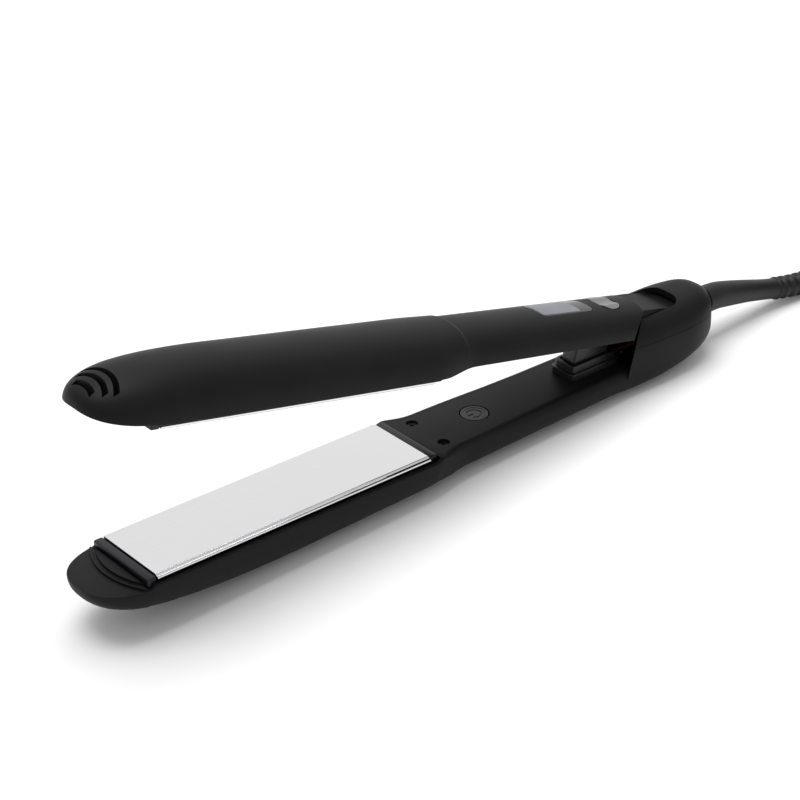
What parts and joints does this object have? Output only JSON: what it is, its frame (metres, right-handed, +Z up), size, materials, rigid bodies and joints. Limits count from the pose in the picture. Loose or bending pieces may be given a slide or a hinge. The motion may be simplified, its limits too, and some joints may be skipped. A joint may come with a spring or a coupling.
{
  "type": "flat iron",
  "caption": "Hair straightener with sprung-open arms, floating polished plates, a power button, a display with a temperature rocker, a swivel cord outlet and a mains cord in a tied hank.",
  "frame": {"origin": "centre of the footprint of the iron without its free cord, on the surface that it rests on", "axes": "+X from the nose to the cord outlet, +Z up, +Y to the left seen from the cord outlet"},
  "size_m": [0.4616, 0.0657, 0.0792],
  "materials": {
    "soft_black": "soft-touch moulded black, fine grain",
    "inner_black": "satin moulded black",
    "gloss_black": "glossy blue-black heat-resistant moulding",
    "mirror_plate": "polished plate, faint lengthwise polishing",
    "ceramic": "white sintered ceramic heater",
    "spring_steel": "bright spring steel",
    "silicone": "red-brown silicone",
    "tin_can": "plated cap and wires",
    "board_green": "solder-masked circuit board",
    "switch_black": "moulded switch body",
    "button_black": "satin black with an engraved symbol",
    "smoked_lens": "glossy smoked window",
    "display_grey": "grey-violet liquid crystal display",
    "silver_key": "satin silver",
    "guard_black": "satin black",
    "zinc_steel": "zinc-plated pressed steel",
    "pin_steel": "ground steel",
    "acetal": "natural acetal",
    "black_screw": "black-oxide steel",
    "relief_rubber": "matt black flexible sleeve",
    "cord_rubber": "matt black rubber jacket",
    "lead_brown": "insulated wire",
    "tie_black": "black hook-and-loop strap",
    "plug_black": "matt black moulded plug",
    "pin_nickel": "nickel-plated brass"
  },
  "bodies": {
    "lower_arm": {"lower_shell": "soft_black", "lower_panel": "inner_black", "housing_cover": "soft_black", "lower_carrier": "gloss_black", "lower_cushions": "silicone", "lower_fuse": "tin_can", "power_switch": "switch_black", "control_board": "board_green", "guard_sleeve": "guard_black", "opening_spring": "spring_steel", "hinge_bracket": "zinc_steel", "hinge_pin": "pin_steel", "hinge_clips": "spring_steel", "panel_screws": "black_screw", "carrier_screws": "zinc_steel", "housing_screws": "black_screw", "bracket_screws": "zinc_steel", "swivel_bush": "acetal", "mains_leads": "lead_brown", "strain_relief": "relief_rubber", "cord": "cord_rubber", "cord_hank": "cord_rubber", "cord_tail": "cord_rubber", "cord_tie": "tie_black", "plug_body": "plug_black", "plug_pins": "pin_nickel"},
    "upper_arm": {"upper_shell": "soft_black", "upper_panel": "inner_black", "upper_carrier": "gloss_black", "upper_cushions": "silicone", "upper_fuse": "tin_can", "display_lens": "smoked_lens", "display_module": "display_grey", "display_board": "board_green", "rocker_switches": "switch_black", "guard_plunger": "guard_black", "hinge_bushes": "acetal", "upper_screws": "black_screw", "upper_carrier_screws": "zinc_steel"},
    "lower_floating_plate": {"lower_plate": "mirror_plate", "lower_heater": "ceramic", "lower_heater_clip": "spring_steel"},
    "upper_floating_plate": {"upper_plate": "mirror_plate", "upper_heater": "ceramic", "upper_heater_clip": "spring_steel"},
    "power_button": {"power_button": "button_black"},
    "rocker_key": {"rocker_key": "silver_key"},
    "swivel_stem": {"swivel_stem": "guard_black"}
  },
  "joints": [
    {"name": "arm_hinge", "type": "hinge", "parent": "lower_arm", "child": "upper_arm", "pos_m": [0.10825, 0, 0.01476], "axis": [0, -1, 0], "range_deg": [0, 11.9], "stiffness_Nm_per_rad": 3, "springref_deg": -8.59, "deforming": ["opening_spring"]},
    {"name": "lower_plate_float", "type": "slide", "parent": "lower_arm", "child": "lower_floating_plate", "axis": [0.0454, 0, 0.999], "range_m": [-0.0006, 0], "stiffness_N_per_m": 4000, "springref_m": 0.0005},
    {"name": "upper_plate_float", "type": "slide", "parent": "upper_arm", "child": "upper_floating_plate", "axis": [-0.2504, 0, -0.9681], "range_m": [-0.0006, 0], "stiffness_N_per_m": 4000, "springref_m": 0.0005},
    {"name": "power_press", "type": "slide", "parent": "lower_arm", "child": "power_button", "axis": [0.0454, 0, 0.999], "range_m": [-0.0006, 0], "stiffness_N_per_m": 900, "springref_m": 0.0005},
    {"name": "rocker_tilt", "type": "hinge", "parent": "upper_arm", "child": "rocker_key", "pos_m": [0.07948, 0.0008, 0.02932], "axis": [0.9681, 0, -0.2504], "range_deg": [-3, 3], "stiffness_Nm_per_rad": 0.05},
    {"name": "swivel_turn", "type": "hinge", "parent": "lower_arm", "child": "swivel_stem", "pos_m": [0.12154, 0, 0.01425], "axis": [0.999, 0, -0.0454], "continuous": true}
  ]
}
